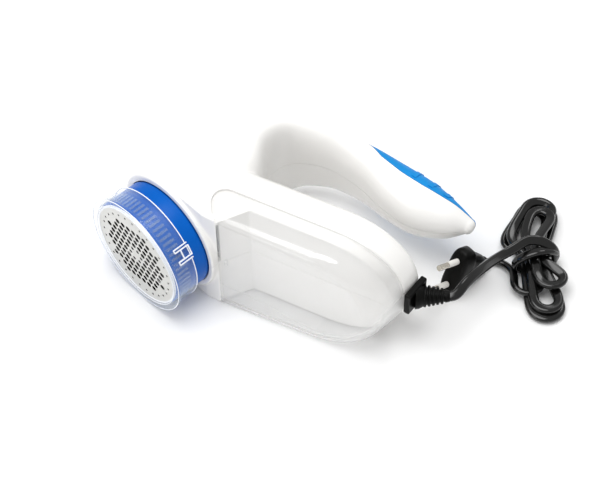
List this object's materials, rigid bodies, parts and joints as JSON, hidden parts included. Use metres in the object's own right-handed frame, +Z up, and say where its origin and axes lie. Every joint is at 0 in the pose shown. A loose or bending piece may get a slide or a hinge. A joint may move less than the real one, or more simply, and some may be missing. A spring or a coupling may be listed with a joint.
{
  "type": "fabric shaver",
  "caption": "Mains fabric shaver with a round foil head, curved grip handle, clear lint box, and a flat lead in a tied hank with a two-pin plug.",
  "frame": {"origin": "middle of the tool's footprint, without its lead and plug, on the surface it lies on", "axes": "+X along the housing from the shaving head to the strain relief, +Y from the shaving face and the lint box's sole towards the grip, +Z up from the side the tool lies on"},
  "size_m": [0.2842, 0.1945, 0.082],
  "materials": {
    "white_plastic": "polished",
    "blue_plastic": "satin",
    "grip_plastic": "satin",
    "clear_plastic": "polished",
    "black_plastic": "semi-gloss",
    "dark_plastic": "matt",
    "board": "matt",
    "steel": "brushed",
    "nickel": "plated",
    "can_metal": "satin"
  },
  "bodies": {
    "housing": {"upper_shell": "white_plastic", "lower_shell": "white_plastic", "screw_head": "steel", "screw_neck": "steel", "screw_grip": "steel", "screw_box_side": "steel", "screw_rear": "steel", "grip_insert": "grip_plastic", "cutter_bowl": "dark_plastic", "motor": "can_metal", "motor_screw_left": "steel", "motor_screw_right": "steel", "motor_clamp": "dark_plastic", "safety_switch": "black_plastic", "power_switch": "black_plastic", "circuit_board": "board", "capacitor": "grip_plastic", "rectifier": "black_plastic", "choke": "can_metal", "strain_relief": "black_plastic", "lead_clamp": "dark_plastic", "lead_run": "black_plastic", "lead_hank": "black_plastic", "plug_body": "black_plastic", "pin_live": "nickel", "pin_sleeve_live": "black_plastic", "pin_neutral": "nickel", "pin_sleeve_neutral": "black_plastic"},
    "rotor": {"motor_shaft": "steel", "drive_hub": "black_plastic", "hex_driver": "steel", "blade_spring": "steel"},
    "cutter": {"blade_carrier": "dark_plastic", "blade_1": "steel", "blade_2": "steel", "blade_3": "steel"},
    "collar": {"foil_collar": "blue_plastic", "foil": "steel"},
    "guard": {"guard": "clear_plastic"},
    "lint_box": {"lint_box": "clear_plastic"},
    "power_slider": {"power_slider": "blue_plastic"},
    "safety_plunger": {"safety_plunger": "black_plastic"}
  },
  "joints": [
    {"name": "rotor_spin", "type": "hinge", "parent": "housing", "child": "rotor", "pos_m": [-0.07456, -0.06167, 0.041], "axis": [0.3278, 0.9447, 0], "continuous": true},
    {"name": "cutter_press", "type": "slide", "parent": "rotor", "child": "cutter", "axis": [0.3278, 0.9447, 0], "range_m": [0, 0.0012], "stiffness_N_per_m": 300, "springref_m": -0.001, "deforming": ["blade_spring"]},
    {"name": "collar_turn", "type": "hinge", "parent": "housing", "child": "collar", "pos_m": [-0.07456, -0.06167, 0.041], "axis": [0.3278, 0.9447, 0], "range_deg": [0, 25]},
    {"name": "guard_pull", "type": "slide", "parent": "collar", "child": "guard", "axis": [-0.3278, -0.9447, 0], "range_m": [0, 0.016]},
    {"name": "lint_box_pull", "type": "slide", "parent": "housing", "child": "lint_box", "axis": [0.7071, -0.7071, 0], "range_m": [0, 0.03]},
    {"name": "power_slide", "type": "slide", "parent": "housing", "child": "power_slider", "axis": [0.8628, 0.5055, 0], "range_m": [-0.004, 0.004]},
    {"name": "safety_press", "type": "slide", "parent": "housing", "child": "safety_plunger", "axis": [0.3278, 0.9447, 0], "range_m": [0, 0.0012], "stiffness_N_per_m": 200, "springref_m": -0.001}
  ]
}
